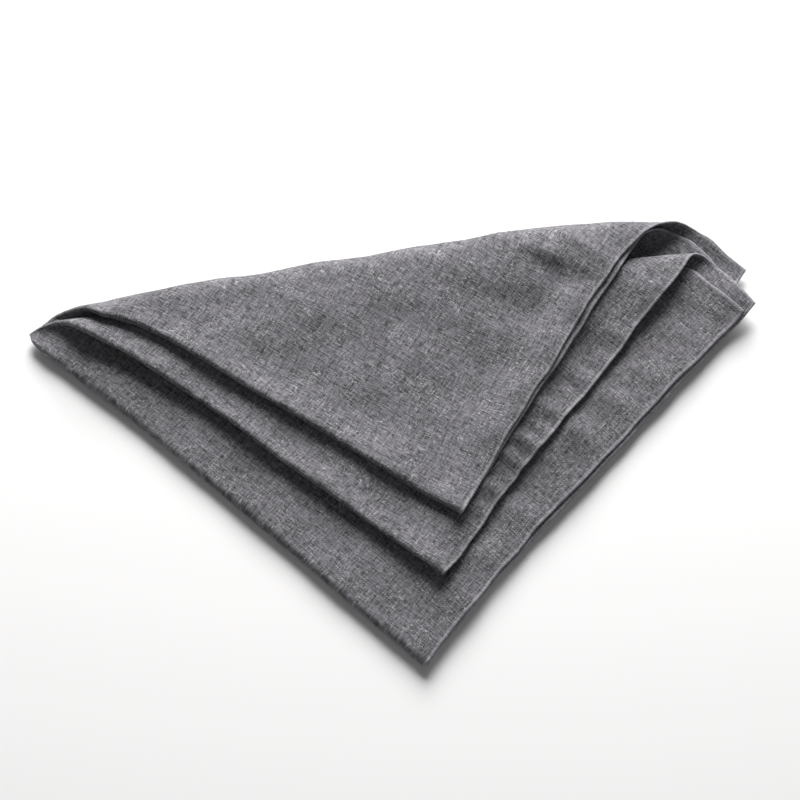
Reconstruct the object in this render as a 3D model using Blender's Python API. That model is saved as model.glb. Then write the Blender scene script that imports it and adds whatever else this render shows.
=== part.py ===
"""Folded linen napkin, one sheet of cloth.

A square napkin is folded in quarters and laid down as a flat packet of four plies. The packet is then
folded over near its diagonal: plies 1 and 2 turn over one soft ridge, plies 3 and 4 over another inside
it, so that the two pairs fan out. Every ply is worked out on the flat cloth, from the napkin's centre
(which becomes the pointed tip): `near` runs along the creases that end up on top, `far` along the creases
at the packet's lower edge.
"""
import math

import bpy
import numpy as np
from mathutils.geometry import tessellate_polygon

MM = 0.001

# The cloth, millimetres
HALF_SIDE = 225.0        # the open napkin is 450 x 450
CLOTH = 1.0              # thickness of the sheet
HEM_WIDTH = 9.0
HEM_EXTRA = 0.25         # how much thicker the turned hem is
PITCH = 1.6              # from the middle of one lying ply to the next
OUTER_BEND = 0.8         # cloth taken by half the turn of the outer far crease, round the inner one
TIP_LENGTH = 12.0        # the plies close up over this length at the tip
TIP_HEIGHT = 4.0
TIP_TAPER = 20.0         # and the sheet thins over this length

# The packet's far creases run this way from the tip, degrees from +X
PACKET_TURN = -41.0

# The two pairs of plies and the ridge each turns over.
# offset: ridge line from the tip; angle: degrees from +X; roll: cloth taken by half the turn;
# reach: how far from the ridge line its rise dies out; crease_rise: how much the upper ply lifts
# along its crease
UNIT_COLUMNS = ("offset", "angle", "roll", "reach", "crease_rise")
UNITS = {
    "top": (17.1, 8.3, 14.0, 92.0, 2.2),
    "middle": (11.6, 6.1, 14.0, 62.0, 0.9),
}

# Ridge sections by distance along the ridge from the tip: how far the outermost line lies inside the
# ridge line, the height of the crest for the outer ply of each pair, and the gap to the ply inside it
RIDGE_COLUMNS = ("along", "top_inset", "top_crest", "top_gap", "middle_inset", "middle_crest", "middle_gap")
RIDGE = (
    (0, 2.0, 14.0, 1.6, 8.0, 10.6, 1.6),
    (8, 2.4, 14.0, 1.6, 7.4, 10.6, 1.6),
    (20, 8.6, 13.8, 1.6, 6.6, 10.8, 1.6),
    (31, 9.2, 13.8, 1.6, 6.4, 10.8, 1.6),
    (45, 7.6, 14.0, 1.6, 6.6, 10.7, 1.6),
    (80, 5.6, 14.4, 1.6, 6.8, 10.7, 1.6),
    (130, 3.8, 15.2, 1.6, 6.5, 10.8, 1.6),
    (190, 1.8, 16.8, 1.6, 6.0, 11.6, 1.6),
    (212, 0.8, 17.4, 1.6, 6.0, 12.1, 1.6),
    (235, 0.9, 17.6, 1.6, 6.0, 12.6, 1.6),
    (260, 3.8, 16.8, 2.0, 6.0, 13.3, 2.4),
    (275, 6.0, 16.0, 2.6, 6.1, 13.6, 3.4),
    (290, 6.6, 15.4, 3.0, 6.2, 13.8, 4.0),
    (325, 8.0, 15.0, 3.4, 7.0, 13.8, 4.5),
)

# How far the near crease of each pair lies over its straight line, by distance from the tip
LEAN_COLUMNS = ("along", "top", "middle")
LEANS = (
    (0, 0.0, 0.0),
    (6, 0.0, -1.0),
    (14, -1.0, -1.0),
    (22, 0.0, 3.0),
    (30, 3.2, 6.4),
    (38, 6.4, 5.8),
    (44, 6.2, 3.6),
    (50, 3.6, 1.4),
    (55, 1.2, 0.2),
    (60, 0.0, 0.0),
    (225, 0.0, 0.0),
)
LEAN_REACH = 25.0        # and how far from the crease that dies out

# How far the far creases lie inside their straight line, by distance from the tip
PULLS = ((0, 0.0), (4, -1.8), (9, -1.4), (15, -0.3), (22, 0.4), (30, 0.9), (50, 2.1), (80, 2.5), (160, 2.5),
         (200, 1.6), (225, 1.2))
PULL_REACH = 35.0

# Each ply: its pair, its place in the stack lying under and lying on top (0 is on the table), whether it
# is the inner one at the ridge
PLY_COLUMNS = ("unit", "under", "over", "inner")
PLIES = {
    1: ("top", 0, 7, 0),
    2: ("top", 1, 6, 1),
    3: ("middle", 2, 5, 0),
    4: ("middle", 3, 4, 1),
}

# How far each ply's hem stands out, by distance along it: the near hems from the near creases' ends, the
# far hems from the far creases' ends
HEM_COLUMNS = ("along", 1, 2, 3, 4)
NEAR_HEMS = (
    (0, 1.2, 0.8, 0.7, -0.5),
    (12, 0.6, 0.5, 1.4, -0.4),
    (30, -1.2, -0.7, 0.4, -1.6),
    (57, -1.9, -1.0, -1.3, -2.8),
    (75, -2.4, -1.1, -0.1, -2.2),
    (100, -3.7, -1.3, 1.1, -1.5),
    (122, -4.0, -1.4, 0.5, -1.8),
    (140, -3.0, -1.2, 0.6, -2.5),
    (155, -1.0, -0.8, 1.5, -4.0),
    (175, 4.0, -0.5, 1.2, -8.0),
    (190, 7.0, -0.7, -2.2, -12.0),
    (204, 7.8, -1.6, -3.6, -13.0),
    (214, 6.0, -4.8, -3.9, -13.0),
    (225, 4.8, -9.0, -6.0, -13.5),
)
FAR_HEMS = (
    (0, 1.5, 0.5, 1.0, 2.0),
    (10, 0.0, -0.4, 0.2, 0.4),
    (24, -0.2, -0.6, 0.4, 0.0),
    (37, -0.8, -1.0, -0.3, -0.6),
    (50, -1.6, -1.6, -1.0, -1.4),
    (62, -1.0, -1.2, -0.4, -1.2),
    (75, -1.4, -1.6, -0.5, -2.0),
    (88, -0.8, -1.2, 0.4, -1.4),
    (101, -0.8, -1.0, 0.6, -1.0),
    (113, -0.6, -0.8, 1.2, -0.5),
    (140, -1.0, -0.6, 1.4, 0.0),
    (167, -2.5, -0.8, 1.9, 0.2),
    (193, -5.5, -2.0, 2.6, 1.4),
    (206, -7.0, -2.8, 3.2, 2.0),
    (225, -9.3, -4.0, 4.0, 2.5),
)

# Soft troughs and folds lying on the top pair: middle point along and across its ridge line, direction
# from that line in degrees, half length, half width, depth (a ridge where it is negative)
TROUGH_COLUMNS = ("along", "across", "turn", "length", "width", "depth")
TROUGHS = (
    (226, -48, 58, 34, 13, 0.9),
    (196, -52, 40, 36, 13, 0.8),
    (150, -42, 12, 44, 13, 0.7),
    (118, -62, -24, 34, 14, 0.4),
)

# How finely the cloth is divided
LOOPS = (6, 9, 12, 15, 19, 24, 30, 36, 43, 52, 64, 80, 100, 122, 144, 164, 182, 197, 207, 214.6, 216.0, 225)
NEAR_STEPS = 6
ROLL_STEPS = 8
UNDER_STEPS = 2
FAR_STEPS = 4
BEND_STEPS = 6


def row(columns, values):
    return dict(zip(columns, values))


def smooth(x):
    x = min(1.0, max(0.0, x))
    return x * x * (3.0 - 2.0 * x)


def direction(degrees):
    return np.array((math.cos(math.radians(degrees)), math.sin(math.radians(degrees))))


def left_of(vector):
    return np.array((-vector[1], vector[0]))


def tip_share(reach):
    """How far the plies have opened, from 0 at the tip to 1."""
    return min(1.0, reach / TIP_LENGTH)


def lying_height(place):
    return CLOTH / 2 + PITCH * place


def read_off(table, columns, name, x):
    """A column of a table at a place given by its first column."""
    column = columns.index(name)
    return np.interp(x, [r[0] for r in table], [r[column] for r in table])


def ridge_section(unit, ply, along):
    """Outermost line and crest height of one ply's turn over its ridge."""
    gap = read_off(RIDGE, RIDGE_COLUMNS, unit + "_gap", along) * ply["inner"]
    inset = read_off(RIDGE, RIDGE_COLUMNS, unit + "_inset", along) + gap
    crest = read_off(RIDGE, RIDGE_COLUMNS, unit + "_crest", along) - gap
    return inset, crest


def trough_depth(along, across):
    depth = 0.0
    for values in TROUGHS:
        t = row(TROUGH_COLUMNS, values)
        run = direction(t["turn"])
        gap = np.array((along - t["along"], across - t["across"]))
        lengthwise = gap @ run / t["length"]
        sideways = gap @ left_of(run) / t["width"]
        depth += t["depth"] * math.exp(-lengthwise ** 2 - sideways ** 2)
    return depth


def ply_point(number, near, far):
    """Where a point of the flat cloth lies, from its distances along the near and far creases."""
    ply = row(PLY_COLUMNS, PLIES[number])
    unit = row(UNIT_COLUMNS, UNITS[ply["unit"]])
    opened = tip_share(max(near, far))
    pull = np.interp(far, *zip(*PULLS)) * math.exp(-near / PULL_REACH)
    lean = read_off(LEANS, LEAN_COLUMNS, ply["unit"], near) * math.exp(-far / LEAN_REACH)
    near_shift = read_off(NEAR_HEMS, HEM_COLUMNS, number, far) * (near / HALF_SIDE) ** 3 + pull
    far_shift = read_off(FAR_HEMS, HEM_COLUMNS, number, near) * (far / HALF_SIDE) ** 3 - lean
    far_way = direction(PACKET_TURN)
    flat = (far + far_shift) * far_way + (near + near_shift) * left_of(far_way)

    ridge_way = direction(unit["angle"])
    along = flat @ ridge_way
    across = flat @ left_of(ridge_way) - unit["offset"]
    inset, crest = ridge_section(ply["unit"], ply, along)
    low = lying_height(ply["under"])
    high = lying_height(ply["over"])
    roll = unit["roll"]
    if across <= -roll:
        side = across
        height = low
    elif across < roll:
        turn = across / roll * math.pi / 2
        side = -roll + (roll - inset) * math.cos(turn)
        height = (low + crest) / 2 + (crest - low) / 2 * math.sin(turn)
    else:
        side = -across
        height = high + (crest - high) * (1.0 - smooth((across - roll) / (unit["reach"] - roll)))
    on_top = smooth(across / roll)
    if not ply["inner"]:
        height += unit["crease_rise"] * on_top * math.exp(-(far / 11.0) ** 2)
    if ply["unit"] == "top":
        height -= trough_depth(along, side) * on_top * smooth((across - roll) / 20.0)
    side = across + (side - across) * opened
    height = TIP_HEIGHT + (height - TIP_HEIGHT) * opened
    place = along * ridge_way + (unit["offset"] + side) * left_of(ridge_way)
    return np.array((place[0], place[1], height))


def ply_normal(number, near, far):
    """Which way a ply faces, on the side that shows where the napkin lies open to view."""
    step = 0.05
    along_near = ply_point(number, near + step, far) - ply_point(number, near - step, far)
    along_far = ply_point(number, near, far + step) - ply_point(number, near, far - step)
    normal = np.cross(along_near, along_far) * (1 if number in (1, 3) else -1)
    return normal / np.linalg.norm(normal)


def spread(start, end, steps):
    return [start + (end - start) * i / steps for i in range(steps + 1)]


def bend_width(ply_a, ply_b, crease, reach):
    """Flat width of half a crease's turn, so that the turn is about round."""
    a = row(PLY_COLUMNS, PLIES[ply_a])
    b = row(PLY_COLUMNS, PLIES[ply_b])
    gap = PITCH * abs(a[crease] - b[crease])
    if crease == "over":
        gap += UNITS[a["unit"]][UNIT_COLUMNS.index("crease_rise")]
    return gap * math.pi / 4 * tip_share(reach)


def ply_path(number, reach, near_bend, far_bend):
    """Points of one ply on a square loop round the napkin's centre, near crease to far crease."""
    unit = row(UNIT_COLUMNS, UNITS[PLIES[number][0]])
    slope = math.radians(unit["angle"] - PACKET_TURN)
    rise = reach * math.cos(slope) - unit["offset"]
    roll_start = max((rise - unit["roll"]) / math.sin(slope), near_bend + 0.15 * reach)
    roll_end = max((rise + unit["roll"]) / math.sin(slope), roll_start + 0.3 * reach)
    roll_end = min(roll_end, 0.96 * reach)
    stops = spread(near_bend, roll_start, NEAR_STEPS)
    stops += spread(roll_start, roll_end, ROLL_STEPS)[1:]
    stops += spread(roll_end, reach, UNDER_STEPS)[1:]
    path = [(reach, far) for far in stops]
    path += [(near, reach) for near in spread(reach, far_bend, FAR_STEPS)[1:]]
    return [(ply_point(number, near, far), ply_normal(number, near, far)) for near, far in path]


def bend(path, following, crease_way, facing):
    """A half round turn, square to the crease, from the end of one ply to the start of the next."""
    before, end, start, after = (entry[0] for entry in (*path[-2:], *following[:2]))
    outward = (end - before) / np.linalg.norm(end - before) + (start - after) / np.linalg.norm(start - after)
    middle = (end + start) / 2
    half = (end - start) / 2
    bulge = np.linalg.norm(half)
    for line in (crease_way / np.linalg.norm(crease_way), half / bulge):
        outward = outward - (outward @ line) * line
    outward = outward / np.linalg.norm(outward)
    turned = []
    for i in range(1, BEND_STEPS):
        turn = math.pi * i / BEND_STEPS
        spoke = half / bulge * math.cos(turn) + outward * math.sin(turn)
        turned.append((middle + spoke * bulge, spoke * facing))
    return turned


def cloth_loop(reach):
    """Points and normals of the cloth's middle surface on one closed loop: plies 1, 4, 3 and 2 with the
    creases between them. The crease between plies 3 and 2 is folded the other way."""
    far_outer = OUTER_BEND * tip_share(reach)
    near_middle = bend_width(4, 3, "over", reach)
    far_inner = bend_width(3, 2, "under", reach)
    near_top = bend_width(2, 1, "over", reach)
    paths = [
        ply_path(1, reach, near_top, far_outer),
        ply_path(4, reach, near_middle, far_outer)[::-1],
        ply_path(3, reach, near_middle, far_inner),
        ply_path(2, reach, near_top, far_inner)[::-1],
    ]
    crease_ways = [
        ply_point(1, far_outer, reach + 1) - ply_point(1, far_outer, reach - 1),
        ply_point(4, reach + 1, near_middle) - ply_point(4, reach - 1, near_middle),
        ply_point(3, far_inner, reach + 1) - ply_point(3, far_inner, reach - 1),
        ply_point(2, reach + 1, near_top) - ply_point(2, reach - 1, near_top),
    ]
    loop = []
    for path, following, crease_way, facing in zip(paths, paths[1:] + paths[:1], crease_ways, (1, 1, -1, 1)):
        loop += path + bend(path, following, crease_way, facing)
    return loop


def unit_vectors(vectors):
    return vectors / np.linalg.norm(vectors, axis=-1, keepdims=True)


def cloth_solid():
    cloth = np.array([cloth_loop(reach) for reach in LOOPS])
    grid = cloth[:, :, 0]
    normals = cloth[:, :, 1]
    count = grid.shape[1]
    half = np.array([CLOTH / 2 * min(1.0, reach / TIP_TAPER) for reach in LOOPS])[:, None, None]
    in_hem = np.array([1.0 if reach > HALF_SIDE - HEM_WIDTH - 0.5 else 0.0 for reach in LOOPS])[:, None, None]
    facing_up = np.clip(normals[:, :, 2:] * 3.0, 0.0, 1.0)
    outside = grid + normals * (half + HEM_EXTRA * in_hem * facing_up)
    inside = grid - normals * half
    edge = (outside[-1] + inside[-1]) / 2 + unit_vectors(grid[-1] - grid[-2]) * CLOTH / 2

    tip = np.array((0.0, 0.0, TIP_HEIGHT))
    rings = [*outside, edge, *inside[::-1]]
    points = np.concatenate([*rings, tip[None]])
    faces = []
    for ring in range(len(rings) - 1):
        for i in range(count):
            a = ring * count + i
            b = ring * count + (i + 1) % count
            faces.append((a, a + count, b + count, b))
    last = len(points) - 1
    for i in range(count):
        faces.append((last, i, (i + 1) % count))

    # inside the tip the plies are pressed together: the pocket between them ends in a cap there
    start = (len(rings) - 1) * count
    way = direction(PACKET_TURN + 45.0)
    seen = points[start:start + count] - tip
    depth = seen[:, :2] @ way
    flat = [(side / d, z / d, 0.0) for side, z, d in zip(seen[:, :2] @ left_of(way), seen[:, 2], depth)]
    for corners in tessellate_polygon([flat]):
        (ax, ay, _), (bx, by, _), (cx, cy, _) = [flat[i] for i in corners]
        if (bx - ax) * (cy - ay) < (by - ay) * (cx - ax):
            corners = corners[::-1]
        faces.append(tuple(start + i for i in corners))
    return points, faces


def set_on_origin(points):
    """Puts the middle of the cloth's box over the origin and the cloth on the ground."""
    low = points.min(axis=0)
    high = points.max(axis=0)
    points = points - np.array(((low[0] + high[0]) / 2, (low[1] + high[1]) / 2, low[2]))
    return points


def cloth_material():
    material = bpy.data.materials.new("charcoal linen")
    material.use_nodes = True
    shader = material.node_tree.nodes["Principled BSDF"]
    shader.inputs["Base Color"].default_value = (0.115, 0.115, 0.122, 1.0)
    shader.inputs["Roughness"].default_value = 0.9
    return material


def build():
    for leftover in list(bpy.data.objects):
        bpy.data.objects.remove(leftover)
    points, faces = cloth_solid()
    mesh = bpy.data.meshes.new("napkin")
    mesh.from_pydata([tuple(p * MM) for p in set_on_origin(points)], [], faces)
    mesh.validate()
    mesh.update()
    napkin = bpy.data.objects.new("napkin", mesh)
    napkin.data.materials.append(cloth_material())
    bpy.context.scene.collection.objects.link(napkin)


build()
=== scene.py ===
"""Folded linen napkin, dressed: the cloth with its creases, wrinkles and puckered hem, the hem's
stitching, and a plain light stage."""
import math

import bpy
import numpy as np
from bpy.props import FloatProperty, FloatVectorProperty, PointerProperty
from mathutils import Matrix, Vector


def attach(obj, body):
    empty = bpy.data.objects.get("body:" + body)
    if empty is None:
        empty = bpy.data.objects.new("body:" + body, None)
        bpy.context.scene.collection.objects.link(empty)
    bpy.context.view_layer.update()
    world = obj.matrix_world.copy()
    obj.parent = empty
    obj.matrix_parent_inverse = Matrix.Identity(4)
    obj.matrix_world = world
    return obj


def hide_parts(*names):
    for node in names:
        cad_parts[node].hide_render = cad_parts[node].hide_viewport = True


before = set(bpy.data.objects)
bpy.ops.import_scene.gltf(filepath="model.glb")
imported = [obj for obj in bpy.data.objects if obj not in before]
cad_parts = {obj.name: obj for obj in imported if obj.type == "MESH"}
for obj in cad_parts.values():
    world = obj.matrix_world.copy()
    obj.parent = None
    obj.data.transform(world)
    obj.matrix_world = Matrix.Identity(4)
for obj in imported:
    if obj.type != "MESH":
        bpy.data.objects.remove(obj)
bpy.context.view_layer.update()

bl_info = {
    "name": "Folded linen napkin",
    "version": (1, 0, 0),
    "blender": (4, 5, 0),
    "location": "View3D > Sidebar > Napkin",
    "description": "Builds a folded linen napkin, its hem stitching and a plain stage",
    "category": "Add Mesh",
}

MM = 0.001

# Shapes are worked out in millimetres from the pointed tip, the middle of the open napkin
TIP_PLACE = (-158.50, 48.35)   # where the tip lies in the frame

# The stack of plies
PITCH = 1.6                     # from the middle of one lying ply to the next
LOWEST = 0.5                    # middle of the lowest ply at its hem
SETTLED = 0.2                   # how much lower the cloth lies away from its hems
SETTLE_FROM = 6.0               # it starts to sink this far from the hem
SETTLE_OVER = 24.0              # and has settled over this length
OUTER_BEND = 0.8                # cloth taken by half the turn of the outer far crease
TIP_LENGTH = 12.0               # the plies close up over this length at the tip
TIP_HEIGHT = 4.0
TIP_TAPER = 9.0                 # and the cloth thins over this length
THINNEST = 0.12                 # to this share
PACKET_TURN = -41.0             # the far creases run this way from the tip, degrees from +X

# The ridges that the two pairs of plies turn over. offset: ridge line from the tip; angle: degrees from
# +X; roll: cloth taken by half the turn; reach: how far from the ridge line its rise dies out;
# crease_rise: how much the upper ply lifts off the lower one along their crease; crease_lift: how much
# both lift off what is under them
RISE_WIDTH, LIFT_WIDTH = 11.0, 7.0   # how far from the crease these two die out
UNIT_COLUMNS = ("offset", "angle", "roll", "reach", "crease_rise", "crease_lift")
UNITS = {
    "top": (17.1, 8.3, 14.0, 92.0, 1.4, 0.9),
    "middle": (11.6, 6.1, 14.0, 62.0, 0.9, 2.6),
}

# Ridge sections by distance along the ridge from the tip: how far the outermost line lies inside the
# ridge line, the height of the crest for the outer ply of each pair, and the gap to the ply inside it
RIDGE_COLUMNS = (
    "along", "top_inset", "top_crest", "top_gap", "middle_inset", "middle_crest", "middle_gap")
RIDGE = (
    (0, 2.0, 14.0, 1.6, 8.0, 10.6, 1.6),
    (8, 2.4, 14.0, 1.6, 5.8, 10.6, 1.6),
    (14, 5.4, 13.8, 1.6, 5.0, 10.6, 1.6),
    (20, 6.4, 13.8, 1.6, 5.0, 10.8, 1.6),
    (31, 4.9, 13.8, 1.6, 5.2, 10.8, 1.6),
    (45, 6.3, 14.0, 1.6, 6.6, 10.7, 1.6),
    (80, 5.5, 14.4, 1.6, 6.8, 10.7, 1.6),
    (130, 3.8, 15.2, 1.6, 6.5, 10.8, 1.6),
    (190, 1.8, 16.8, 1.6, 6.0, 11.6, 1.6),
    (212, 1.4, 17.4, 1.6, 6.0, 12.1, 1.6),
    (235, 1.2, 17.6, 1.6, 6.0, 12.6, 1.6),
    (260, 4.2, 16.8, 2.0, 6.0, 13.3, 2.4),
    (275, 6.0, 16.0, 2.6, 6.1, 13.6, 3.4),
    (290, 6.6, 15.4, 3.0, 6.2, 13.8, 4.0),
    (325, 8.0, 15.0, 3.4, 7.0, 13.8, 4.5),
)

# How far each ridge line bows forward of its straight line near the tip
BOW_COLUMNS = ("along", "top", "middle")
BOWS = (
    (0, 0.0, 0.6),
    (8, 1.0, 2.8),
    (15, 2.6, 3.6),
    (24, 3.8, 3.5),
    (33, 4.0, 2.2),
    (40, 2.2, 1.0),
    (48, 0.8, 0.3),
    (60, 0.2, 0.0),
    (80, 0.0, 0.0),
)

# Each ply: its pair, its place in the stack lying under and lying on top (0 is on the table), and
# whether it is the inner one at the ridge
PLY_COLUMNS = ("unit", "under", "over", "inner")
PLIES = {
    1: ("top", 0, 7, 0),
    2: ("top", 1, 6, 1),
    3: ("middle", 2, 5, 0),
    4: ("middle", 3, 4, 1),
}

# How far each ply's hem stands out, by distance along it: the near hems from the near creases' ends,
# the far hems from the far creases' ends
HEM_COLUMNS = ("along", 1, 2, 3, 4)
NEAR_HEMS = (
    (0, 1.2, 0.8, 0.7, -0.5),
    (12, 0.6, 0.5, 1.4, -0.4),
    (30, -1.0, -0.5, 0.6, -1.4),
    (57, -1.2, -0.3, -1.0, -2.5),
    (75, -1.6, -0.3, 0.2, -1.9),
    (100, -2.9, -0.5, 1.4, -1.2),
    (122, -3.4, -0.8, 0.8, -1.5),
    (140, -2.7, -0.9, 0.7, -2.4),
    (155, -1.0, -0.8, 1.5, -4.0),
    (175, 3.4, -1.0, 1.0, -8.4),
    (190, 3.8, -1.8, -2.8, -12.6),
    (204, 4.0, -2.8, -4.9, -13.8),
    (214, 3.0, -6.0, -6.0, -13.8),
    (225, 3.6, -10.0, -7.8, -14.2),
)
FAR_HEMS = (
    (0, 1.5, 0.5, 1.0, 2.0),
    (10, 0.0, -0.4, 0.2, 0.4),
    (24, -0.2, -0.6, 0.4, 0.0),
    (37, -0.8, -1.0, -0.3, -0.6),
    (50, -1.6, -1.6, -1.0, -1.4),
    (62, -1.0, -1.2, -0.4, -1.2),
    (75, -1.4, -1.6, -0.5, -2.0),
    (88, -0.8, -1.2, 0.4, -1.4),
    (101, -0.8, -1.0, 0.6, -1.0),
    (113, -0.6, -0.8, 1.2, -0.5),
    (140, -1.0, -0.6, 1.4, 0.0),
    (167, -2.5, -0.8, 1.9, 0.2),
    (193, -5.5, -2.0, 2.6, 1.4),
    (206, -7.0, -2.8, 3.2, 2.0),
    (225, -9.3, -4.0, 4.0, 2.5),
)

# How far the far creases lie inside their straight line, by distance from the tip
PULLS = (
    (0, 0.0), (4, -1.8), (9, -1.4), (15, -0.3), (22, 0.4), (30, 0.9), (50, 2.1), (80, 2.5), (160, 2.5),
    (200, 1.6), (225, 1.2),
)
PULL_REACH = 35.0

# Soft troughs on the top pair: middle point along and across its ridge line, direction from that line
# in degrees, half length, half width, depth
TROUGH_FADE = 20.0       # they start this softly at the ridge
TROUGH_COLUMNS = ("along", "across", "turn", "length", "width", "depth")
TROUGHS = (
    (226, -48, 58, 34, 13, 0.9),
    (196, -52, 40, 36, 13, 0.8),
    (150, -42, 12, 44, 13, 0.7),
    (118, -62, -24, 34, 14, 0.4),
)

# Wrinkles, by their places on the flat cloth: the pair, the part of it ("over" for both plies of the
# upper part, "outer under" or "inner under" for one ply of the lower part), middle along the near and the
# far creases, direction from the near crease in degrees, half length, half width, height (a hollow where
# it is negative)
WRINKLE_COLUMNS = ("unit", "part", "near", "far", "turn", "length", "width", "height")
WRINKLES = (
    ("top", "over", 194, 121, 8, 22, 3.6, 1.6),
    ("top", "over", 207, 132, -3, 15, 3.2, 1.3),
    ("top", "over", 172, 117, -32, 9, 3.0, 0.9),
    ("top", "over", 188, 128, 4, 30, 12.0, 1.8),
    ("top", "over", 180, 103, 12, 13, 5.0, -0.7),
    ("top", "over", 206, 108, 6, 18, 5.0, 1.0),
    ("top", "over", 205, 93, 6, 16, 7.0, -0.8),
    ("top", "over", 188, 62, 14, 22, 8.0, -0.8),
    ("top", "over", 150, 92, 16, 26, 5.0, 0.7),
    ("top", "over", 205, 40, -8, 16, 5.0, 0.7),
    ("top", "over", 120, 34, 6, 30, 7.0, 0.5),
    ("top", "over", 222, 66, 90, 46, 11, 1.3),
    ("middle", "over", 219, 33.0, 3, 6.5, 2.6, 0.9),
    ("middle", "over", 219, 43.5, -4, 7.0, 2.8, 2.1),
    ("middle", "over", 220, 51.5, 6, 6.0, 2.2, 1.1),
    ("middle", "over", 219, 59.0, -3, 7.0, 2.9, 2.4),
    ("middle", "over", 219, 69.0, 5, 7.0, 2.9, 2.6),
    ("middle", "over", 220, 77.0, -6, 6.0, 2.2, 1.3),
    ("middle", "over", 219, 87.0, 3, 7.0, 3.2, 2.3),
    ("middle", "over", 220, 96.0, -5, 6.0, 2.6, 1.3),
    ("middle", "over", 219, 106.5, 4, 7.0, 3.4, 1.7),
    ("middle", "over", 220, 119.0, -3, 6.0, 3.0, 1.0),
    ("middle", "over", 219, 132.0, 2, 7.0, 3.8, 1.2),
    ("middle", "inner under", 51, 214, 84, 9, 5.0, 1.4),
    ("middle", "inner under", 31, 216, 96, 8, 4.0, 0.8),
    ("middle", "inner under", 76, 212, 80, 10, 5.0, 1.1),
    ("middle", "inner under", 119, 210, 96, 12, 4.5, 1.5),
    ("middle", "inner under", 141, 210, 82, 12, 5.0, 1.7),
    ("middle", "inner under", 160, 214, 80, 10, 4.5, 1.1),
    ("middle", "inner under", 184, 208, 72, 12, 5.0, 1.1),
    ("middle", "inner under", 203, 214, 84, 12, 3.2, 0.9),
    ("middle", "inner under", 200, 192, 40, 20, 11.0, 2.0),
    ("middle", "outer under", 231, 200, 90, 20, 6.0, 1.8),
)

# Gathers along a hem, where its seam draws it up: the pair and part, the hem, from and to along it,
# height and spacing
GATHER_COLUMNS = ("unit", "part", "hem", "start", "end", "height", "spacing")
GATHERS = (
    ("top", "over", "near", 0, 225, 0.25, 11.0),
    ("middle", "over", "near", 0, 200, 0.25, 6.3),
    ("middle", "inner under", "far", 0, 225, 0.22, 8.0),
    ("middle", "inner under", "far", 66, 108, 0.30, 3.1),
)
GATHER_FADE = 9.0                         # length over which they start and end
GATHER_WANDER = (1.5, 9.0), (0.9, 23.0)   # how their spacing wanders: turn and length
GATHER_EVEN, GATHER_SWELL = 0.65, 17.0    # their middle strength, and the length that it swells over
GATHER_EDGE, GATHER_RISE = 0.35, 5.0      # their share at the hem's edge, and how far in it is whole
GATHER_INSIDE, GATHER_DIES = 7.0, 9.0     # where they start to die out, and over what length

# Bulges of the whole stack: middle, direction in degrees, half length, half width, height
HUMP_COLUMNS = ("x", "y", "turn", "length", "width", "height")
HUMPS = (
    (301, 45, -38, 24, 9.5, 5.6),
    (309, 17, -40, 16, 9, 4.4),
    (217, -28, 60, 58, 9.5, 5.4),
    (228, -51, 50, 20, 9, 3.4),
    (256, -13, 50, 20, 9, 1.4),
    (222, 28, 20, 24, 12, 2.4),
    (113, -41, -33, 55, 15, 1.8),
)

# Waves that run through the whole stack: size, wavelength, direction in degrees and start
WAVE_COLUMNS = ("size", "length", "turn", "start")
HEIGHT_WAVES = (
    (0.35, 61, 20, 0.3),
    (0.35, 37, 110, 1.9),
    (0.18, 23, 65, 4.0),
    (0.10, 14.5, 148, 2.2),
    (0.06, 9.7, 100, 0.8),
)
X_WAVES = ((0.30, 55, 80, 1.0), (0.16, 23, 30, 2.0), (0.07, 11, 120, 0.4))
Y_WAVES = ((0.30, 49, 10, 0.5), (0.16, 27, 60, 3.0), (0.07, 13, -20, 5.0))
FULL_WAVES, MOST_WAVES = 10.0, 1.3   # the height waves are whole at this height, and grow to this share
LAYER_SHIFT = 3.0                    # how the sideways waves move on with height

# Lines of the cloth's grid. They are closest beside a crease and along the hem. The hem's are distances
# from its edge, for a hem as wide as USUAL_HEM
BEND_STEPS = 4                      # over half a crease's turn
NEAR_BEND, FAR_BEND = 3.0, 1.3      # width of the lines over half a crease's turn, before they fit it
FIRST_STEP, STEP_GROWTH = 0.9, 1.16
NEAR_STEP, FAR_STEP = 2.8, 2.15     # the widest steps
HEM_LINES = (0.0, 0.4, 1.1, 2.4, 4.2, 6.0, 7.3, 8.0, 8.5, 9.0, 9.6, 10.8, 12.6)
USUAL_HEM = 9.0
SEAM_LINE = 8                       # number of the line that the hem's seam runs along, from 0
RIM_STEPS, RIM_BULGE = 4, 0.9       # round the cloth's outer edge

# How the hem stands out: on the showing side, in the groove of its seam, and on the back
HEM_RISE, HEM_GROOVE, HEM_BACK = 0.10, 0.10, 0.30
GROOVE_WIDTH = 0.6

# Each stitch: its rings by share of its length and their sizes, its sides, and how it arches out
STITCH_RINGS = (0.0, 0.16, 0.5, 0.84, 1.0)
STITCH_SIZES = (0.25, 0.85, 1.0, 0.85, 0.25)
STITCH_SIDES = 6
STITCH_ARCH, STITCH_SUNK = 0.7, 0.45

SHOWING = 0.66           # share of the bake map's width for the side of the cloth that shows
MAP_MARGIN = 0.01

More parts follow.
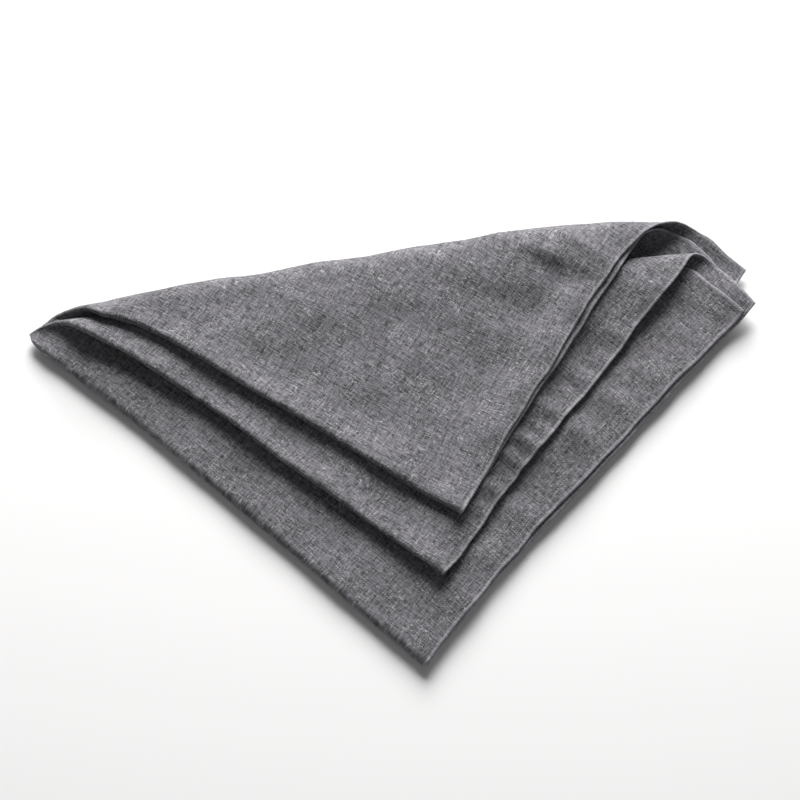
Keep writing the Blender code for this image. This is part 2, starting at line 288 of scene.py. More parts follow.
# The finish, in millimetres of the flat cloth. Streaks run along the threads: width, length, detail,
# roughness. Noises: scale to the millimetre, detail, roughness. Pale: from where to where each pattern
# comes to show
THREAD_PITCH = 0.6
STREAKS = {
    "fine": (0.62, 4.2, 2.0, 0.6),
    "broad": (1.6, 17.0, 2.0, 0.6),
    "slubs": (0.85, 4.6, 1.0, 0.5),
    "knots": (0.9, 1.8, 0.0, 0.5),
}
NOISES = {"fuzz": (0.8, 3.0, 0.75), "patches": (0.03, 2.0, 0.5), "clusters": (0.09, 2.0, 0.5)}
PALE = {"slubs": (0.64, 0.77), "knots": (0.74, 0.84), "clusters": (0.42, 0.62)}
SLUB_SHARE = 0.7             # how much a slub shows beside a knot
SPARSE = 0.35                # and how much both show between their clusters
COVER, MOST_COVER = 0.75, 0.9    # how far their colour covers the cloth's, and at most
PALE_EDGE_WEAR_AND_HIGHLIGHT = (1.35, 0.5)      # distances from the edge over which the cloth turns paler, from wear and from a painted highlight on the rim
HEM_SHADE = (0.4, -0.2)      # distances from the seam, inwards
SEAM_SHADE = (0.6, 0.1)      # and on both sides of it, where the seam's line is painted darker as shade in its groove

# How strongly each pattern shows in the tone and in the relief, whose depth is in metres. In the tone, the
# pale edge is part wear and part painted highlight, and the seam's darkening is painted shade in its groove
TONE = {
    "threads": 1.8, "bars": 0.9, "fuzz": 1.2, "patches": 0.3, "weave": 0.03, "hem": -0.05,
    "seam": -0.06, "wear_and_highlight": 0.9,
}
RELIEF = {"weave": 0.1, "threads": 0.8, "bars": 0.4, "pale": 0.3, "fuzz": 0.4}
RELIEF_DEPTH = 0.00025
DARKEST = 0.25               # the least tone
ROUGH, SMOOTHER = 0.93, 0.08     # how rough the cloth is, and how much less its slubs are
TWIST_SCALE = 2600.0         # of the sewing thread, to the metre

# The view: what the camera looks at in millimetres from the tip, its height in degrees, its distance
# in metres, and its lens
LOOK_AT = (160.9, -29.2)
CAMERA_ELEVATION, CAMERA_DISTANCE = 66.9, 1.0
LENS, SENSOR = 104.6, 36.0

# The stage in metres. Each light: name, place in the frame, size, power, colour
FLOOR_SIZE, FLOOR_DROP = 8.0, 0.0005
ROOM_LIGHT = 0.09
LIGHTS = (
    ("window light", (0.04, 1.27, 0.84), 0.95, 48.5, (1.0, 0.99, 0.985)),
    ("soft front light", (0.2, -1.2, 1.7), 1.4, 3.0, (0.98, 0.99, 1.0)),
)


def row(columns, values):
    return dict(zip(columns, values))


def smooth(x):
    x = np.clip(x, 0.0, 1.0)
    return x * x * (3.0 - 2.0 * x)


def direction(degrees):
    return np.array((math.cos(math.radians(degrees)), math.sin(math.radians(degrees))))


def left_of(vector):
    return np.array((-vector[1], vector[0]))


def unit_vectors(vectors):
    return vectors / np.maximum(np.linalg.norm(vectors, axis=-1, keepdims=True), 1e-9)


def tip_share(reach):
    """How far the plies have opened, from 0 at the tip to 1."""
    return np.minimum(1.0, reach / TIP_LENGTH)


def read_off(table, columns, name, x):
    """A column of a table at places given by its first column."""
    column = columns.index(name)
    return np.interp(x, [r[0] for r in table], [r[column] for r in table])


def waves(table, x, y):
    total = 0.0
    for values in table:
        wave = row(WAVE_COLUMNS, values)
        way = direction(wave["turn"])
        turn = 2 * math.pi * (x * way[0] + y * way[1]) / wave["length"] + wave["start"]
        total = total + wave["size"] * np.sin(turn)
    return total


def mound(along, across, place, turn, length, width):
    """A soft long mound, 1 high at its middle."""
    way = direction(turn)
    from_along, from_across = along - place[0], across - place[1]
    lengthwise = (from_along * way[0] + from_across * way[1]) / length
    sideways = (from_across * way[0] - from_along * way[1]) / width
    return np.exp(-lengthwise ** 2 - sideways ** 2)


def trough_depth(along, across):
    depth = 0.0
    for values in TROUGHS:
        t = row(TROUGH_COLUMNS, values)
        depth = depth + t["depth"] * mound(
            along, across, (t["along"], t["across"]), t["turn"], t["length"], t["width"])
    return depth


def gather(along, edge, height, spacing):
    """Small crosswise ridges of a gathered hem. along runs along the hem, edge is the distance from it."""
    (first, first_length), (second, second_length) = GATHER_WANDER
    turn = 2 * math.pi * along / spacing + first * np.sin(along / first_length + spacing)
    turn = turn + second * np.sin(along / second_length)
    ridge = (0.5 + 0.5 * np.sin(turn)) ** 2
    strength = GATHER_EVEN + (1.0 - GATHER_EVEN) * np.sin(along / GATHER_SWELL + 2.0 * spacing)
    profile = GATHER_EDGE + (1.0 - GATHER_EDGE) * smooth(edge / GATHER_RISE)
    profile = profile * (1.0 - smooth((edge - GATHER_INSIDE) / GATHER_DIES))
    return height * ridge * strength * profile


def wrinkled(unit, part, near, far, side):
    """Height of the wrinkles and gathers of one part of a pair."""
    height = np.zeros_like(near)
    for values in WRINKLES:
        w = row(WRINKLE_COLUMNS, values)
        if (w["unit"], w["part"]) == (unit, part):
            place = (w["near"], w["far"])
            height += w["height"] * mound(near, far, place, w["turn"], w["length"], w["width"])
    for values in GATHERS:
        g = row(GATHER_COLUMNS, values)
        if (g["unit"], g["part"]) == (unit, part):
            along, edge = (far, side - near) if g["hem"] == "near" else (near, side - far)
            started = smooth((along - g["start"]) / GATHER_FADE + 0.5)
            ended = smooth((g["end"] - along) / GATHER_FADE + 0.5)
            height += started * ended * gather(along, edge, g["height"], g["spacing"])
    return height


def ply_points(number, near, far, side):
    """Where points of the flat cloth lie, from their distances along the near and far creases."""
    ply = row(PLY_COLUMNS, PLIES[number])
    unit = row(UNIT_COLUMNS, UNITS[ply["unit"]])
    opened = tip_share(np.maximum(near, far))

    # the packet laid out flat
    pull = np.interp(far, *zip(*PULLS)) * np.exp(-near / PULL_REACH)
    near_shift = read_off(NEAR_HEMS, HEM_COLUMNS, number, far) * (near / side) ** 3 + pull
    far_shift = read_off(FAR_HEMS, HEM_COLUMNS, number, near) * (far / side) ** 3
    far_way = direction(PACKET_TURN)
    near_way = left_of(far_way)
    x = (far + far_shift) * far_way[0] + (near + near_shift) * near_way[0]
    y = (far + far_shift) * far_way[1] + (near + near_shift) * near_way[1]

    # the ridge's section here
    ridge_way = direction(unit["angle"])
    ridge_left = left_of(ridge_way)
    along = x * ridge_way[0] + y * ridge_way[1]
    offset = unit["offset"] - read_off(BOWS, BOW_COLUMNS, ply["unit"], along)
    across = x * ridge_left[0] + y * ridge_left[1] - offset
    gap = read_off(RIDGE, RIDGE_COLUMNS, ply["unit"] + "_gap", along) * ply["inner"]
    inset = read_off(RIDGE, RIDGE_COLUMNS, ply["unit"] + "_inset", along) + gap
    crest = read_off(RIDGE, RIDGE_COLUMNS, ply["unit"] + "_crest", along) - gap

    # turned over the ridge
    edge = side - np.maximum(near, far)
    base = LOWEST - SETTLED * smooth((edge - SETTLE_FROM) / SETTLE_OVER)
    low = base + PITCH * ply["under"]
    high = base + PITCH * ply["over"]
    roll = unit["roll"]
    turn = np.clip(across / roll, -1.0, 1.0) * math.pi / 2
    rolled_side = -roll + (roll - inset) * np.cos(turn)
    rolled_height = (low + crest) / 2 + (crest - low) / 2 * np.sin(turn)
    top_height = high + (crest - high) * (1.0 - smooth((across - roll) / (unit["reach"] - roll)))
    under = across <= -roll
    over = across >= roll
    place = np.where(under, across, np.where(over, -across, rolled_side))
    height = np.where(under, low, np.where(over, top_height, rolled_height))

    # creases, troughs and wrinkles
    on_top = smooth(across / roll)
    if not ply["inner"]:
        height = height + unit["crease_rise"] * on_top * np.exp(-(far / RISE_WIDTH) ** 2)
    height = height + unit["crease_lift"] * on_top * np.exp(-(far / LIFT_WIDTH) ** 2)
    if ply["unit"] == "top":
        height = height - trough_depth(along, place) * on_top * smooth((across - roll) / TROUGH_FADE)
    shifted = (near + near_shift, far + far_shift, side)
    height = height + on_top * wrinkled(ply["unit"], "over", *shifted)
    lower = "inner under" if ply["inner"] else "outer under"
    height = height + (1.0 - on_top) * wrinkled(ply["unit"], lower, *shifted)

    # closed up at the tip
    place = across + (place - across) * opened
    height = TIP_HEIGHT + (height - TIP_HEIGHT) * opened
    x = along * ridge_way[0] + (offset + place) * ridge_left[0]
    y = along * ridge_way[1] + (offset + place) * ridge_left[1]
    return np.stack((x, y, height), axis=-1)


def bend_width(ply_a, ply_b, place, reach):
    """Flat width of half a crease's turn, so that the turn is about round."""
    a = row(PLY_COLUMNS, PLIES[ply_a])
    b = row(PLY_COLUMNS, PLIES[ply_b])
    gap = PITCH * abs(a[place] - b[place])
    if place == "over":
        gap += UNITS[a["unit"]][UNIT_COLUMNS.index("crease_rise")]
    return gap * math.pi / 4 * tip_share(reach)


def hem_lines(sizes):
    """Distances of the grid's lines along a hem from its edge."""
    return np.array(HEM_LINES) * (sizes.hem_width / MM) / USUAL_HEM


def grid_lines(bend, step, side, hem):
    """Distances of the grid's lines from a crease, from the end of its turn to the hem's edge."""
    end = side - hem[-1]
    steps = [FIRST_STEP]
    while sum(steps) < end - bend:
        steps.append(min(step, steps[-1] * STEP_GROWTH))
    inner = bend + np.cumsum(steps) * (end - bend) / sum(steps)
    return np.concatenate(([bend], inner, side - hem[-2::-1]))


def crease_turn(first, second):
    """Half round turns from the first row of one ply to the first row of the next, square to the crease.
    The first axis runs along the crease."""
    end, start = first[:, 0], second[:, 0]
    outward = unit_vectors(end - first[:, 1]) + unit_vectors(start - second[:, 1])
    middle, half = (end + start) / 2, (end - start) / 2
    bulge = np.linalg.norm(half, axis=-1, keepdims=True)
    for line in (unit_vectors(np.gradient(middle, axis=0)), unit_vectors(half)):
        outward = outward - np.sum(outward * line, axis=-1, keepdims=True) * line
    outward = unit_vectors(outward)
    turns = []
    for i in range(1, 2 * BEND_STEPS):
        turn = math.pi * i / (2 * BEND_STEPS)
        turns.append(middle + half * math.cos(turn) + outward * bulge * math.sin(turn))
    return np.stack(turns, axis=1)


def cloth_grid(side, hem):
    """The cloth's middle surface on a grid over the open napkin: points in millimetres, and where each is
    on the flat cloth. The first axis runs from ply 4 and 3 over to 1 and 2, the second from 3 and 2 to 4
    and 1."""
    near_lines = grid_lines(FAR_BEND, NEAR_STEP, side, hem)
    far_lines = grid_lines(NEAR_BEND, FAR_STEP, side, hem)
    near, far = np.meshgrid(near_lines, far_lines, indexing="ij")

    def fitted(lines, nominal, width):
        return width + (lines - nominal) * (side - width) / (side - nominal)

    widths = {
        "near top": bend_width(1, 2, "over", near),
        "near middle": bend_width(4, 3, "over", near),
        "far outer": OUTER_BEND * tip_share(far),
        "far inner": bend_width(3, 2, "under", far),
    }
    beside = {1: ("near top", "far outer"), 2: ("near top", "far inner"),
              3: ("near middle", "far inner"), 4: ("near middle", "far outer")}
    plies, flats = {}, {}
    for number, (near_crease, far_crease) in beside.items():
        on_near = fitted(near, FAR_BEND, widths[far_crease])
        on_far = fitted(far, NEAR_BEND, widths[near_crease])
        plies[number] = ply_points(number, on_near, on_far, side)
        flats[number] = (on_near, on_far)

    a, b = len(near_lines), len(far_lines)
    between = 2 * BEND_STEPS - 1
    grid = np.zeros((2 * a + between, 2 * b + between, 3))
    flat = np.zeros((2 * a + between, 2 * b + between, 2))
    up_near, up_far = slice(a + between, None), slice(b + between, None)
    down_near, down_far = slice(a - 1, None, -1), slice(b - 1, None, -1)
    signs = {1: (up_near, up_far, 1, 1), 2: (up_near, down_far, 1, -1),
             3: (down_near, down_far, -1, -1), 4: (down_near, up_far, -1, 1)}
    for number, (across, along, near_sign, far_sign) in signs.items():
        grid[across, along] = plies[number]
        flat[across, along, 0] = near_sign * flats[number][0]
        flat[across, along, 1] = far_sign * flats[number][1]

    middle_near, middle_far = slice(a, a + between), slice(b, b + between)
    shares = 1.0 - 2.0 * np.arange(1, 2 * BEND_STEPS) / (2 * BEND_STEPS)
    grid[up_near, middle_far] = crease_turn(plies[2], plies[1])
    flat[up_near, middle_far, 0] = flats[1][0][:, :1]
    flat[up_near, middle_far, 1] = -shares * flats[1][1][:, :1]
    grid[down_near, middle_far] = crease_turn(plies[3], plies[4])
    flat[down_near, middle_far, 0] = -flats[4][0][:, :1]
    flat[down_near, middle_far, 1] = -shares * flats[4][1][:, :1]
    for first, second, along, sign in ((4, 1, up_far, 1), (3, 2, down_far, -1)):
        turned = crease_turn(plies[first].transpose(1, 0, 2), plies[second].transpose(1, 0, 2))
        grid[middle_near, along] = turned.transpose(1, 0, 2)
        flat[middle_near, along, 0] = -shares[:, None] * flats[second][0][:1]
        flat[middle_near, along, 1] = sign * flats[second][1][:1]
    tip = (slice(a - 1, a + between + 1), slice(b - 1, b + between + 1))
    grid[tip] = (0.0, 0.0, TIP_HEIGHT)
    flat[tip] = 0.0
    return stirred(grid), flat, tip


def stirred(grid):
    """The stack's slow waves and bulges: they move every layer at one place together, so that none meets
    another."""
    x, y, z = np.moveaxis(grid, -1, 0)
    lifted = z + waves(HEIGHT_WAVES, x, y) * np.clip(z / FULL_WAVES, 0.0, MOST_WAVES)
    for values in HUMPS:
        h = row(HUMP_COLUMNS, values)
        lifted = lifted + h["height"] * mound(x, y, (h["x"], h["y"]), h["turn"], h["length"], h["width"])
    moved_x = x + waves(X_WAVES, x, y + LAYER_SHIFT * z)
    moved_y = y + waves(Y_WAVES, x + LAYER_SHIFT * z, y)
    return np.stack((moved_x, moved_y, lifted), axis=-1)


def sheet_sides(sizes):
    """The cloth's middle surface, its showing side and its back as grids in millimetres, the flat places,
    and the part of the grid that makes the tip."""
    side = sizes.side / MM / 2
    body = sizes.thickness / MM
    hem = hem_lines(sizes)
    grid, flat, tip = cloth_grid(side, hem)
    normals = unit_vectors(np.cross(np.gradient(grid, axis=0), np.gradient(grid, axis=1)))
    reach = np.abs(flat).max(axis=-1)
    past_seam = side - reach - hem[SEAM_LINE]
    taper = np.clip(reach / TIP_TAPER, THINNEST, 1.0)
    in_hem = 1.0 - smooth(past_seam)
    groove = np.exp(-(past_seam / GROOVE_WIDTH) ** 2)
    showing = (body / 2 + HEM_RISE * in_hem - HEM_GROOVE * groove) * taper
    back = (body / 2 + HEM_BACK * in_hem) * taper
    front_grid = grid + normals * showing[..., None]
    back_grid = grid - normals * back[..., None]
    for points in (front_grid, back_grid):
        points[tip] = points[tip].reshape(-1, 3).mean(axis=0)
        points[..., 2] = np.maximum(points[..., 2], 0.0)
    return grid, front_grid, back_grid, flat, tip


def border(rows, columns):
    """Places round the edge of a grid, in order."""
    places = [(i, 0) for i in range(rows - 1)]
    places += [(rows - 1, j) for j in range(columns - 1)]
    places += [(i, columns - 1) for i in range(rows - 1, 0, -1)]
    places += [(0, j) for j in range(columns - 1, 0, -1)]
    return places


def cloth_mesh(sizes):
    """Vertices, faces, flat places and bake map places of the closed sheet."""
    side = sizes.side / MM / 2
    grid, front, back, flat, tip = sheet_sides(sizes)
    rows, columns = grid.shape[:2]
    count = rows * columns
    number = np.arange(count).reshape(rows, columns)
    number[tip] = number[tip[0].start, tip[1].start]
    corners = (number[:-1, :-1], number[1:, :-1], number[1:, 1:], number[:-1, 1:])
    quads = np.stack(corners, axis=-1).reshape(-1, 4)

    points = [front.reshape(-1, 3), back.reshape(-1, 3)]
    flats = [flat.reshape(-1, 2)] * 2
    faces = [tuple(dict.fromkeys(q)) for q in quads.tolist()]
    faces = [f for f in faces if len(f) > 2]
    faces += [tuple(count + i for i in reversed(f)) for f in faces]

    # the rim round the outer edge joins the two sides
    rim = np.array(border(rows, columns))
    inward = np.clip(rim, 1, (rows - 2, columns - 2))
    outward = unit_vectors(grid[rim[:, 0], rim[:, 1]] - grid[inward[:, 0], inward[:, 1]])
    top, bottom = front[rim[:, 0], rim[:, 1]], back[rim[:, 0], rim[:, 1]]
    middle, half = (top + bottom) / 2, (top - bottom) / 2
    bulge = np.linalg.norm(half, axis=-1, keepdims=True) * RIM_BULGE
    rings = [number[rim[:, 0], rim[:, 1]]]
    start = 2 * count
    for i in range(1, RIM_STEPS):
        turn = math.pi * i / RIM_STEPS
        points.append(middle + half * math.cos(turn) + outward * bulge * math.sin(turn))
        flats.append(flat[rim[:, 0], rim[:, 1]])
        rings.append(np.arange(start, start + len(rim)))
        start += len(rim)
    rings.append(rings[0] + count)
    for upper, lower in zip(rings, rings[1:]):
        joined = np.stack((upper, lower, np.roll(lower, -1), np.roll(upper, -1)), axis=-1)
        faces += [tuple(q) for q in joined.tolist()]
    points = np.concatenate(points)
    points[:, 2] = np.maximum(points[:, 2], 0.0)

    # the bake map: the showing side on the left, the back on the right
    flats = np.concatenate(flats)
    share = flats / (2 * side) + 0.5
    margins = 2 * MAP_MARGIN
    map_places = share * (SHOWING - margins, 1.0 - margins) + MAP_MARGIN
    behind = slice(count, 2 * count)
    map_places[behind, 0] = share[behind, 0] * (1.0 - SHOWING - margins) + SHOWING + MAP_MARGIN
    return points, faces, flats, map_places


def new_object(name, points, faces):
    """A smooth shaded object from points in millimetres round the tip. Points that no face uses are left
    out; their numbers are returned with it."""
    used = np.unique(np.fromiter((i for f in faces for i in f), dtype=np.int64))
    renumber = np.full(len(points), -1)
    renumber[used] = np.arange(len(used))
    placed = (points[used] + (*TIP_PLACE, 0.0)) * MM
    mesh = bpy.data.meshes.new(name)
    mesh.from_pydata(placed.tolist(), [], [tuple(renumber[list(f)].tolist()) for f in faces])
    mesh.update()
    mesh.polygons.foreach_set("use_smooth", [True] * len(mesh.polygons))
    made = bpy.data.objects.new(name, mesh)
    bpy.context.scene.collection.objects.link(made)
    return made, used


def line_run(line):
    """Distance of each point of a line from its start."""
    gaps = np.linalg.norm(np.diff(line, axis=0), axis=1)
    return np.concatenate(([0.0], np.cumsum(gaps)))


def read_line(run, values, distances):
    return np.stack([np.interp(distances, run, values[:, k]) for k in range(3)], axis=-1)


def stitch_beads(line, normals, length, gap, radius):
    """Short rounded threads end to end along a line on the cloth."""
    run = line_run(line)
    starts = np.arange(gap, run[-1] - length, length + gap)
    centres = [read_line(run, line, starts + share * length) for share in STITCH_RINGS]
    tilts = unit_vectors(read_line(run, normals, starts + length / 2))
    points, faces = [], []
    for k in range(len(starts)):
        way = unit_vectors(centres[-1][k] - centres[0][k])
        up = unit_vectors(tilts[k] - (tilts[k] @ way) * way)
        aside = np.cross(way, up)
        first = len(points)
        for ring, size, share in zip(centres, STITCH_SIZES, STITCH_RINGS):
            lift = radius * (STITCH_ARCH * math.sin(math.pi * share) - STITCH_SUNK)
            for i in range(STITCH_SIDES):
                turn = 2 * math.pi * i / STITCH_SIDES
                spoke = aside * math.cos(turn) + up * math.sin(turn)
                points.append(ring[k] + up * lift + spoke * radius * size)
        for r in range(len(STITCH_RINGS) - 1):
            for i in range(STITCH_SIDES):
                a = first + r * STITCH_SIDES + i
                b = first + r * STITCH_SIDES + (i + 1) % STITCH_SIDES
                faces.append((a, b, b + STITCH_SIDES, a + STITCH_SIDES))
        faces.append(tuple(first + i for i in reversed(range(STITCH_SIDES))))
        last = first + (len(STITCH_RINGS) - 1) * STITCH_SIDES
        faces.append(tuple(last + i for i in range(STITCH_SIDES)))
    return points, faces


class Wire:
    """An output of a finish's node tree. Arithmetic on values adds Math nodes."""

    def __init__(self, finish, socket):
        self.finish = finish
        self.socket = socket

    def maths(self, operation, *values):
        return self.finish.node("ShaderNodeMath", {"operation": operation}, dict(enumerate(values)))

    def sine(self):
        return self.maths("SINE", self)

    def at_least(self, low):
        return self.maths("MAXIMUM", self, low)

    def at_most(self, high):
        return self.maths("MINIMUM", self, high)

    def output(self, number):
        """Another output of the same node."""
        return Wire(self.finish, self.socket.node.outputs[number])

    def __add__(self, other):
        return self.maths("ADD", self, other)

    def __radd__(self, other):
        return self.maths("ADD", other, self)

    def __sub__(self, other):
        return self.maths("SUBTRACT", self, other)

    def __rsub__(self, other):
        return self.maths("SUBTRACT", other, self)

    def __mul__(self, other):
        return self.maths("MULTIPLY", self, other)

    def __rmul__(self, other):
        return self.maths("MULTIPLY", other, self)


class Finish:
    """A material and its nodes."""

    def __init__(self, name):
        self.material = bpy.data.materials.new(name)
        self.material.use_nodes = True
        self.tree = self.material.node_tree
        self.shader = self.tree.nodes["Principled BSDF"]

    def node(self, kind, settings=None, inputs=None, output=0):
        """Adds a node, sets it up, then gives its sockets values or links, and returns one output."""
        made = self.tree.nodes.new(kind)
        for name, value in (settings or {}).items():
            setattr(made, name, value)
        for name, value in (inputs or {}).items():
            self.feed(made.inputs[name], value)
        return Wire(self, made.outputs[output])

    def surface(self, values):
        """Gives the material's own sockets values or links."""
        for name, value in values.items():
            self.feed(self.shader.inputs[name], value)

    def feed(self, socket, value):
        if isinstance(value, Wire):
            self.tree.links.new(value.socket, socket)
        else:
            socket.default_value = value

    def between(self, value, low, high):
        """0 where a value is at low, 1 at high, smooth between."""
        settings = {"interpolation_type": "SMOOTHSTEP"}
        return self.node(
            "ShaderNodeMapRange", settings, {"Value": value, "From Min": low, "From Max": high})

    def blend(self, share, first, second):
        """One colour over another by share."""
        settings = {"data_type": "RGBA", "blend_type": "MIX"}
        return self.node("ShaderNodeMix", settings, {0: share, 6: first, 7: second}, output=2)

    def noise(self, place, scale, detail=2.0, roughness=0.5):
        return self.node("ShaderNodeTexNoise", {"noise_dimensions": "2D"}, {
            "Vector": place, "Scale": scale, "Detail": detail, "Roughness": roughness})

    def stretched(self, place, sizes):
        return self.node("ShaderNodeVectorMath", {"operation": "MULTIPLY"}, {0: place, 1: sizes})

    def toned(self, colour, tone):
        """A colour made lighter or darker by a value."""
        return self.node("ShaderNodeVectorMath", {"operation": "SCALE"}, {0: colour, "Scale": tone})


def linen_finish(colours, seam):
    """Washed linen: uneven threads both ways, pale slubs, edges paler from wear and from a painted
    highlight, and a seam line darkened by painted shade. seam is how far the hem's seam runs from the edge."""
    finish = Finish("washed linen")
    flat = finish.node("ShaderNodeAttribute", {"attribute_name": "flat"}, output="Vector")
    u = finish.node("ShaderNodeSeparateXYZ", None, {0: flat})
    v, edge = u.output(1), u.output(2)

    def streaks(name):
        """Noise drawn out along the threads of one way and of the other."""
        width, length, detail, roughness = STREAKS[name]
        return [
            finish.noise(finish.stretched(flat, sizes), 1.0, detail, roughness)
            for sizes in ((1.0 / width, 1.0 / length, 1.0), (1.0 / length, 1.0 / width, 1.0))
        ]

    # the threads, uneven in thickness and colour
    fine_u, fine_v = streaks("fine")
    broad_u, broad_v = streaks("broad")
    threads = fine_u + fine_v - 1.0
    bars = broad_u + broad_v - 1.0
    turn = math.pi / THREAD_PITCH
    weave = (u * turn).sine() * (v * turn).sine()
    fuzz = finish.noise(flat, *NOISES["fuzz"])
    patches = finish.noise(flat, *NOISES["patches"])

    # pale slubs, the thick places of single threads
    slub_u, slub_v = streaks("slubs")
    knots_u, knots_v = streaks("knots")
    clusters = finish.between(finish.noise(flat, *NOISES["clusters"]), *PALE["clusters"])
    slubs = finish.between(slub_u, *PALE["slubs"]) + finish.between(slub_v, *PALE["slubs"])
    knots = finish.between(knots_u, *PALE["knots"]) + finish.between(knots_v, *PALE["knots"])
    pale = (slubs * SLUB_SHARE + knots) * (SPARSE + clusters * (1.0 - SPARSE))

    # the edge, paler from wear and from a painted highlight on the rim, the hem, and its seam, whose line
    # is darkened by painted shade in its groove
    # paler edge: part wear, part painted highlight where the hem's rim would catch the light
    wear_and_highlight = finish.between(edge, *PALE_EDGE_WEAR_AND_HIGHLIGHT)
    hem = finish.between(edge, *(seam + shift for shift in HEM_SHADE))
    # the seam's line painted darker: painted shade in its groove
    outside = finish.between(edge, *(seam - shift for shift in SEAM_SHADE))
    inside = finish.between(edge, *(seam + shift for shift in SEAM_SHADE))

    tone = 1.0 + threads * TONE["threads"] + bars * TONE["bars"] + (fuzz - 0.5) * TONE["fuzz"]
    tone = tone + (patches - 0.5) * TONE["patches"] + weave * TONE["weave"]
    tone = tone + hem * TONE["hem"] + outside * inside * TONE["seam"] + wear_and_highlight * TONE["wear_and_highlight"]
    cloth = finish.toned(tuple(colours.linen), tone.at_least(DARKEST))
    slub_colour = finish.toned(tuple(colours.slubs), 0.9 + (fuzz - 0.5) * 0.6)
    share = (pale * COVER).at_most(MOST_COVER)
    height = weave * RELIEF["weave"] + threads * RELIEF["threads"] + bars * RELIEF["bars"]
    height = height + pale * RELIEF["pale"] + fuzz * RELIEF["fuzz"]
    finish.surface({
        "Base Color": finish.blend(share, cloth, slub_colour),
        "Roughness": ROUGH - share * SMOOTHER,
        "Normal": finish.node(
            "ShaderNodeBump", None, {"Strength": 1.0, "Distance": RELIEF_DEPTH, "Height": height}),
        "Specular IOR Level": 0.2,
        "Sheen Weight": 0.12,
        "Sheen Roughness": 0.6,
    })
    return finish.material


def thread_finish(colours):
    finish = Finish("hem thread")
    place = finish.node("ShaderNodeTexCoord", output="Object")
    twist = finish.noise(place, TWIST_SCALE)
    finish.surface({
        "Base Color": finish.toned(tuple(colours.thread), 0.75 + twist * 0.5),
        "Roughness": 0.85,
        "Specular IOR Level": 0.2,
    })
    return finish.material


def stage_finish(colours):
    finish = Finish("pale floor")
    place = finish.node("ShaderNodeTexCoord", output="Object")
    grain = finish.noise(place, 3.0, 3.0)
    finish.surface({"Base Color": (*colours.floor, 1.0), "Roughness": 0.85 + grain * 0.1})
    return finish.material


class ClothSizes(bpy.types.PropertyGroup):
    """Sizes of the cloth and its stitching."""

    side: FloatProperty(
        name="Side", description="Side of the open napkin", default=0.45, min=0.3, max=0.6,
        unit="LENGTH", subtype="DISTANCE")
    thickness: FloatProperty(
        name="Thickness", description="Thickness of a single ply", default=0.0006, min=0.0003, max=0.001,
        unit="LENGTH", subtype="DISTANCE")
    hem_width: FloatProperty(
        name="Hem width", description="Width of the turned hem", default=0.009, min=0.006, max=0.015,
        unit="LENGTH", subtype="DISTANCE")
    stitch: FloatProperty(
        name="Stitch", description="Length of one stitch of the hem", default=0.0024, min=0.0015, max=0.005,
        unit="LENGTH", subtype="DISTANCE")
    stitch_gap: FloatProperty(
        name="Stitch gap", description="Gap from one stitch to the next", default=0.0006, min=0.0002,
        max=0.003, unit="LENGTH", subtype="DISTANCE")
    thread: FloatProperty(
        name="Thread", description="Thickness of the sewing thread", default=0.0003, min=0.0002, max=0.001,
        unit="LENGTH", subtype="DISTANCE")


class ClothColours(bpy.types.PropertyGroup):
    """Colours of the cloth, its thread and the floor."""

    linen: FloatVectorProperty(
        name="Linen", description="Colour of the cloth", default=(0.140, 0.137, 0.149), min=0.0, max=1.0,
        subtype="COLOR")
    slubs: FloatVectorProperty(
        name="Slubs", description="Colour of the pale thick places in the threads",
        default=(0.42, 0.415, 0.43), min=0.0, max=1.0, subtype="COLOR")
    thread: FloatVectorProperty(
        name="Thread", description="Colour of the sewing thread", default=(0.144, 0.141, 0.153), min=0.0,
        max=1.0, subtype="COLOR")
    floor: FloatVectorProperty(
        name="Floor", description="Colour of the floor", default=(0.9, 0.9, 0.9), min=0.0, max=1.0,
        subtype="COLOR")


class NAPKIN_OT_cloth(bpy.types.Operator):
    """Make the folded cloth"""

    bl_idname = "napkin.cloth"
    bl_label = "Folded cloth"

    def execute(self, context):
        scene = context.scene
        points, faces, flats, map_places = cloth_mesh(scene.napkin_sizes)
        cloth, used = new_object("linen_napkin", points, faces)
        mesh = cloth.data
        side = scene.napkin_sizes.side / MM / 2
        edge = side - np.abs(flats).max(axis=-1)
        kept = np.column_stack((flats, edge))[used]
        places = mesh.attributes.new("flat", "FLOAT_VECTOR", "POINT")
        places.data.foreach_set("vector", kept.astype(np.float32).ravel())
        corners = np.empty(len(mesh.loops), dtype=np.int32)
        mesh.loops.foreach_get("vertex_index", corners)
        bake_map = mesh.uv_layers.new(name="OFBake")
        bake_map.uv.foreach_set("vector", map_places[used][corners].astype(np.float32).ravel())
        seam = hem_lines(scene.napkin_sizes)[SEAM_LINE]
        mesh.materials.append(linen_finish(scene.napkin_colours, seam))
        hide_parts("napkin")
        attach(cloth, "root")
        return {"FINISHED"}


class NAPKIN_OT_stitching(bpy.types.Operator):
    bl_idname = "napkin.stitching"
    bl_label = "Hem stitching"

    def execute(self, context):
        scene = context.scene
        sizes = scene.napkin_sizes
        grid, front, back, _, _ = sheet_sides(sizes)
        rows, columns = grid.shape[:2]
        normals = unit_vectors(front - back)
        inner_rows = slice(SEAM_LINE, rows - SEAM_LINE)
        inner_columns = slice(SEAM_LINE, columns - SEAM_LINE)
        seams = (
            (SEAM_LINE, inner_columns), (rows - 1 - SEAM_LINE, inner_columns),
            (inner_rows, SEAM_LINE), (inner_rows, columns - 1 - SEAM_LINE),
        )
        points, faces = [], []
        for across, along in seams:
            made, joined = stitch_beads(
                front[across, along], normals[across, along],
                sizes.stitch / MM, sizes.stitch_gap / MM, sizes.thread / MM / 2)
            faces += [tuple(len(points) + i for i in f) for f in joined]
            points += made
        stitches, _ = new_object("hem_stitches", np.array(points), faces)
        stitches.data.materials.append(thread_finish(scene.napkin_colours))
        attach(stitches, "root")
        return {"FINISHED"}


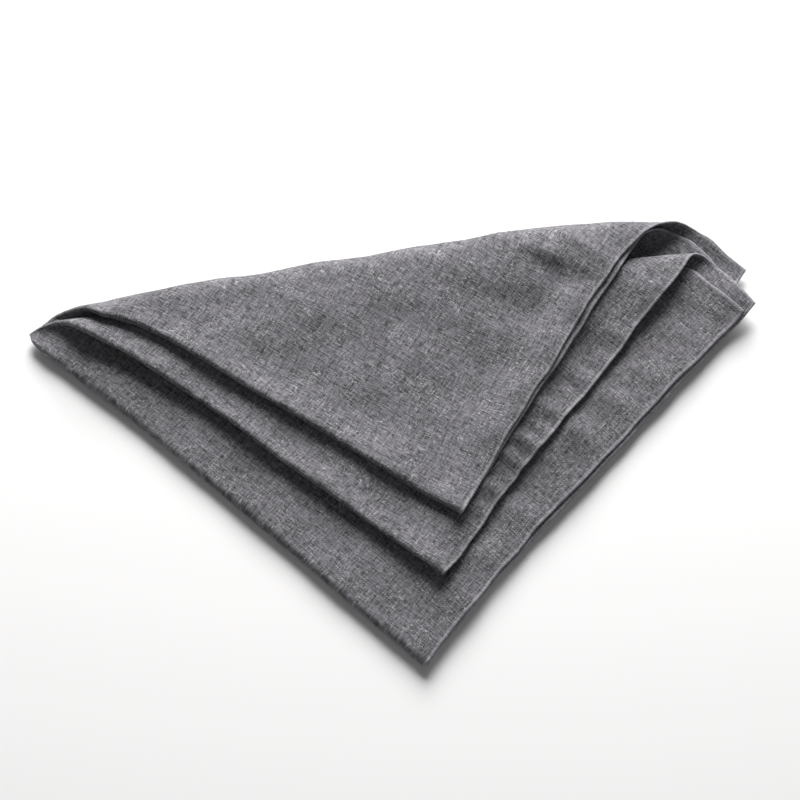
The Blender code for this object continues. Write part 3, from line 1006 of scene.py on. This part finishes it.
class NAPKIN_OT_stage(bpy.types.Operator):
    """Set up the pale floor, the soft light and the camera"""

    bl_idname = "napkin.stage"
    bl_label = "Floor, light and camera"

    def execute(self, context):
        scene = context.scene
        bpy.ops.mesh.primitive_plane_add(size=FLOOR_SIZE, location=(0.0, 0.0, -FLOOR_DROP))
        floor = context.object
        floor.name = "floor"
        floor.data.materials.append(stage_finish(scene.napkin_colours))

        world = bpy.data.worlds.new("soft room")
        world.use_nodes = True
        world.node_tree.nodes["Background"].inputs["Color"].default_value = (1.0, 1.0, 1.0, 1.0)
        world.node_tree.nodes["Background"].inputs["Strength"].default_value = ROOM_LIGHT
        scene.world = world

        for name, place, size, power, colour in LIGHTS:
            data = bpy.data.lights.new(name, "AREA")
            data.shape = "SQUARE"
            data.size = size
            data.energy = power
            data.color = colour
            lamp = bpy.data.objects.new(name, data)
            lamp.location = place
            lamp.rotation_euler = (-Vector(place)).to_track_quat("-Z", "Y").to_euler()
            scene.collection.objects.link(lamp)

        elevation = math.radians(CAMERA_ELEVATION)
        data = bpy.data.cameras.new("camera")
        data.lens = LENS
        data.sensor_width = SENSOR
        camera = bpy.data.objects.new("camera", data)
        seen = Vector((TIP_PLACE[0] + LOOK_AT[0], TIP_PLACE[1] + LOOK_AT[1], 0.0)) * MM
        towards = Vector((0.0, math.cos(elevation), -math.sin(elevation)))
        camera.location = seen - CAMERA_DISTANCE * towards
        camera.rotation_euler = (math.pi / 2 - elevation, 0.0, 0.0)
        scene.collection.objects.link(camera)
        scene.camera = camera
        scene.view_settings.view_transform = "Standard"
        return {"FINISHED"}


class NAPKIN_PT_panel(bpy.types.Panel):
    """The napkin's sizes, colours and pieces"""

    bl_label = "Napkin"
    bl_idname = "NAPKIN_PT_panel"
    bl_space_type = "VIEW_3D"
    bl_region_type = "UI"
    bl_category = "Napkin"

    def draw(self, context):
        layout = self.layout
        for group in (context.scene.napkin_sizes, context.scene.napkin_colours):
            for name in group.__annotations__:
                layout.prop(group, name)
        for operator in OPERATORS:
            layout.operator(operator.bl_idname)


OPERATORS = (NAPKIN_OT_cloth, NAPKIN_OT_stitching, NAPKIN_OT_stage)
CLASSES = (ClothSizes, ClothColours, *OPERATORS, NAPKIN_PT_panel)


def register():
    for cls in CLASSES:
        bpy.utils.register_class(cls)
    bpy.types.Scene.napkin_sizes = PointerProperty(type=ClothSizes)
    bpy.types.Scene.napkin_colours = PointerProperty(type=ClothColours)


def unregister():
    del bpy.types.Scene.napkin_colours
    del bpy.types.Scene.napkin_sizes
    for cls in reversed(CLASSES):
        bpy.utils.unregister_class(cls)


def main():
    register()
    bpy.ops.napkin.cloth()
    bpy.ops.napkin.stitching()
    bpy.ops.napkin.stage()


if __name__ == "__main__":
    main()
